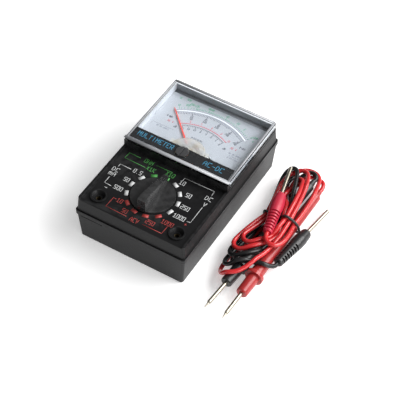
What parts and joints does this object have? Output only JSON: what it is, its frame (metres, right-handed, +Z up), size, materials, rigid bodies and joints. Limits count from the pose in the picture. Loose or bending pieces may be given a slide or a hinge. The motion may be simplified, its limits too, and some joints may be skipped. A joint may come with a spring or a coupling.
{
  "type": "analog multimeter",
  "caption": "Pocket analog multimeter: swinging needle behind a clear window, rotary range knob, two pin jacks, and a bundled pair of test leads.",
  "frame": {"origin": "centre of the flat bottom of the meter", "axes": "+Y towards the dial end, -Y towards the jacks, +X to the right when reading the dial, +Z up out of the dial"},
  "size_m": [0.0975, 0.1038, 0.0336],
  "materials": {
    "case_plastic": "satin",
    "knob_plastic": "satin",
    "clear_window": "clear gloss",
    "label_film": "semi-gloss",
    "spring_steel": "bright",
    "dial_enamel": "smooth satin enamel",
    "screw_steel": "zinc plated",
    "pointer_paint": "red paint",
    "coil_wire": "varnished copper wire",
    "bronze": "bright",
    "magnet_ferrite": "ground",
    "yoke_steel": "plated",
    "brass_parts": "turned brass",
    "cream_plastic": "moulded",
    "board_laminate": "lacquered laminate",
    "pot_wafer": "pressed laminate",
    "cell_jacket": "printed film",
    "tinned_metal": "tinned",
    "resistor_lacquer": "lacquer",
    "diode_glass": "glass bead",
    "trimmer_plastic": "moulded",
    "red_moulding": "satin",
    "black_moulding": "satin",
    "red_probe_plastic": "satin",
    "nickel_plate": "nickel plate",
    "red_pvc": "soft gloss PVC",
    "black_pvc": "soft gloss PVC",
    "tie_pvc": "soft PVC"
  },
  "bodies": {
    "case": {"rear_cover": "case_plastic", "front_case": "case_plastic", "window_cover": "clear_window", "band_label": "label_film", "dial_plate": "dial_enamel", "dial_screws": "screw_steel", "lower_hairspring": "bronze", "core_magnet": "magnet_ferrite", "core_spacers": "brass_parts", "yoke_ring": "yoke_steel", "movement_frame": "cream_plastic", "movement_screws": "screw_steel", "upper_bridge": "brass_parts", "upper_jewel_screw": "brass_parts", "lower_jewel_screw": "brass_parts", "circuit_board": "board_laminate", "board_screws": "screw_steel", "switch_contacts": "bronze", "jack_socket_negative": "brass_parts", "jack_socket_positive": "brass_parts", "ohm_pot_base": "pot_wafer", "battery_cell": "cell_jacket", "battery_spring": "spring_steel", "battery_contact": "spring_steel", "fuse_glass": "clear_window", "fuse_caps": "tinned_metal", "fuse_clips": "bronze", "resistor_bodies": "resistor_lacquer", "resistor_leads": "tinned_metal", "rectifier_diodes": "diode_glass", "trim_pot": "trimmer_plastic", "case_screws": "screw_steel"},
    "zero_adjuster": {"zero_adjust_screw": "knob_plastic", "zero_adjust_clip": "spring_steel"},
    "zero_regulator": {"zero_arm": "bronze", "upper_hairspring": "bronze"},
    "pointer_assembly": {"pointer": "pointer_paint", "moving_coil": "coil_wire", "coil_staff": "screw_steel"},
    "selector": {"selector_knob": "knob_plastic", "wiper_carrier": "cream_plastic", "carrier_screw": "screw_steel", "wiper_springs": "bronze", "detent_ball": "spring_steel", "detent_spring": "spring_steel"},
    "ohm_adjuster": {"ohm_adjust_wheel": "knob_plastic"},
    "test_leads": {"red_plug_body": "red_moulding", "red_plug_pin": "nickel_plate", "black_plug_body": "black_moulding", "black_plug_pin": "nickel_plate", "red_probe_body": "red_probe_plastic", "red_probe_rod": "nickel_plate", "black_probe_body": "black_moulding", "black_probe_rod": "nickel_plate", "red_cord": "red_pvc", "black_cord": "black_pvc", "red_hank": "red_pvc", "black_hank": "black_pvc", "lead_tie": "tie_pvc"}
  },
  "joints": [
    {"name": "selector_turn", "type": "hinge", "parent": "case", "child": "selector", "pos_m": [0, -0.02355, 0.0254], "axis": [0, 0, 1], "continuous": true},
    {"name": "pointer_swing", "type": "hinge", "parent": "case", "child": "pointer_assembly", "pos_m": [0, 0.0087, 0.0265], "axis": [0, 0, 1], "range_deg": [-90, 0], "stiffness_Nm_per_rad": 0.00002},
    {"name": "zero_adjust_turn", "type": "hinge", "parent": "case", "child": "zero_adjuster", "pos_m": [0, 0.0025, 0.0315], "axis": [0, 0, 1], "range_deg": [-30, 30]},
    {"name": "zero_arm_swing", "type": "hinge", "parent": "case", "child": "zero_regulator", "pos_m": [0, 0.0087, 0.0285], "axis": [0, 0, 1], "range_deg": [-5, 5]},
    {"name": "ohm_adjust_turn", "type": "hinge", "parent": "case", "child": "ohm_adjuster", "pos_m": [-0.0216, -0.014, 0.0213], "axis": [0, 0, 1], "range_deg": [-135, 135]},
    {"name": "leads_lift", "type": "slide", "parent": "case", "child": "test_leads", "axis": [0, 0, 1], "range_m": [0, 0.15]}
  ],
  "couplings": [
    {"joint": "zero_arm_swing", "follows": "zero_adjust_turn", "ratio": 0.13889}
  ]
}
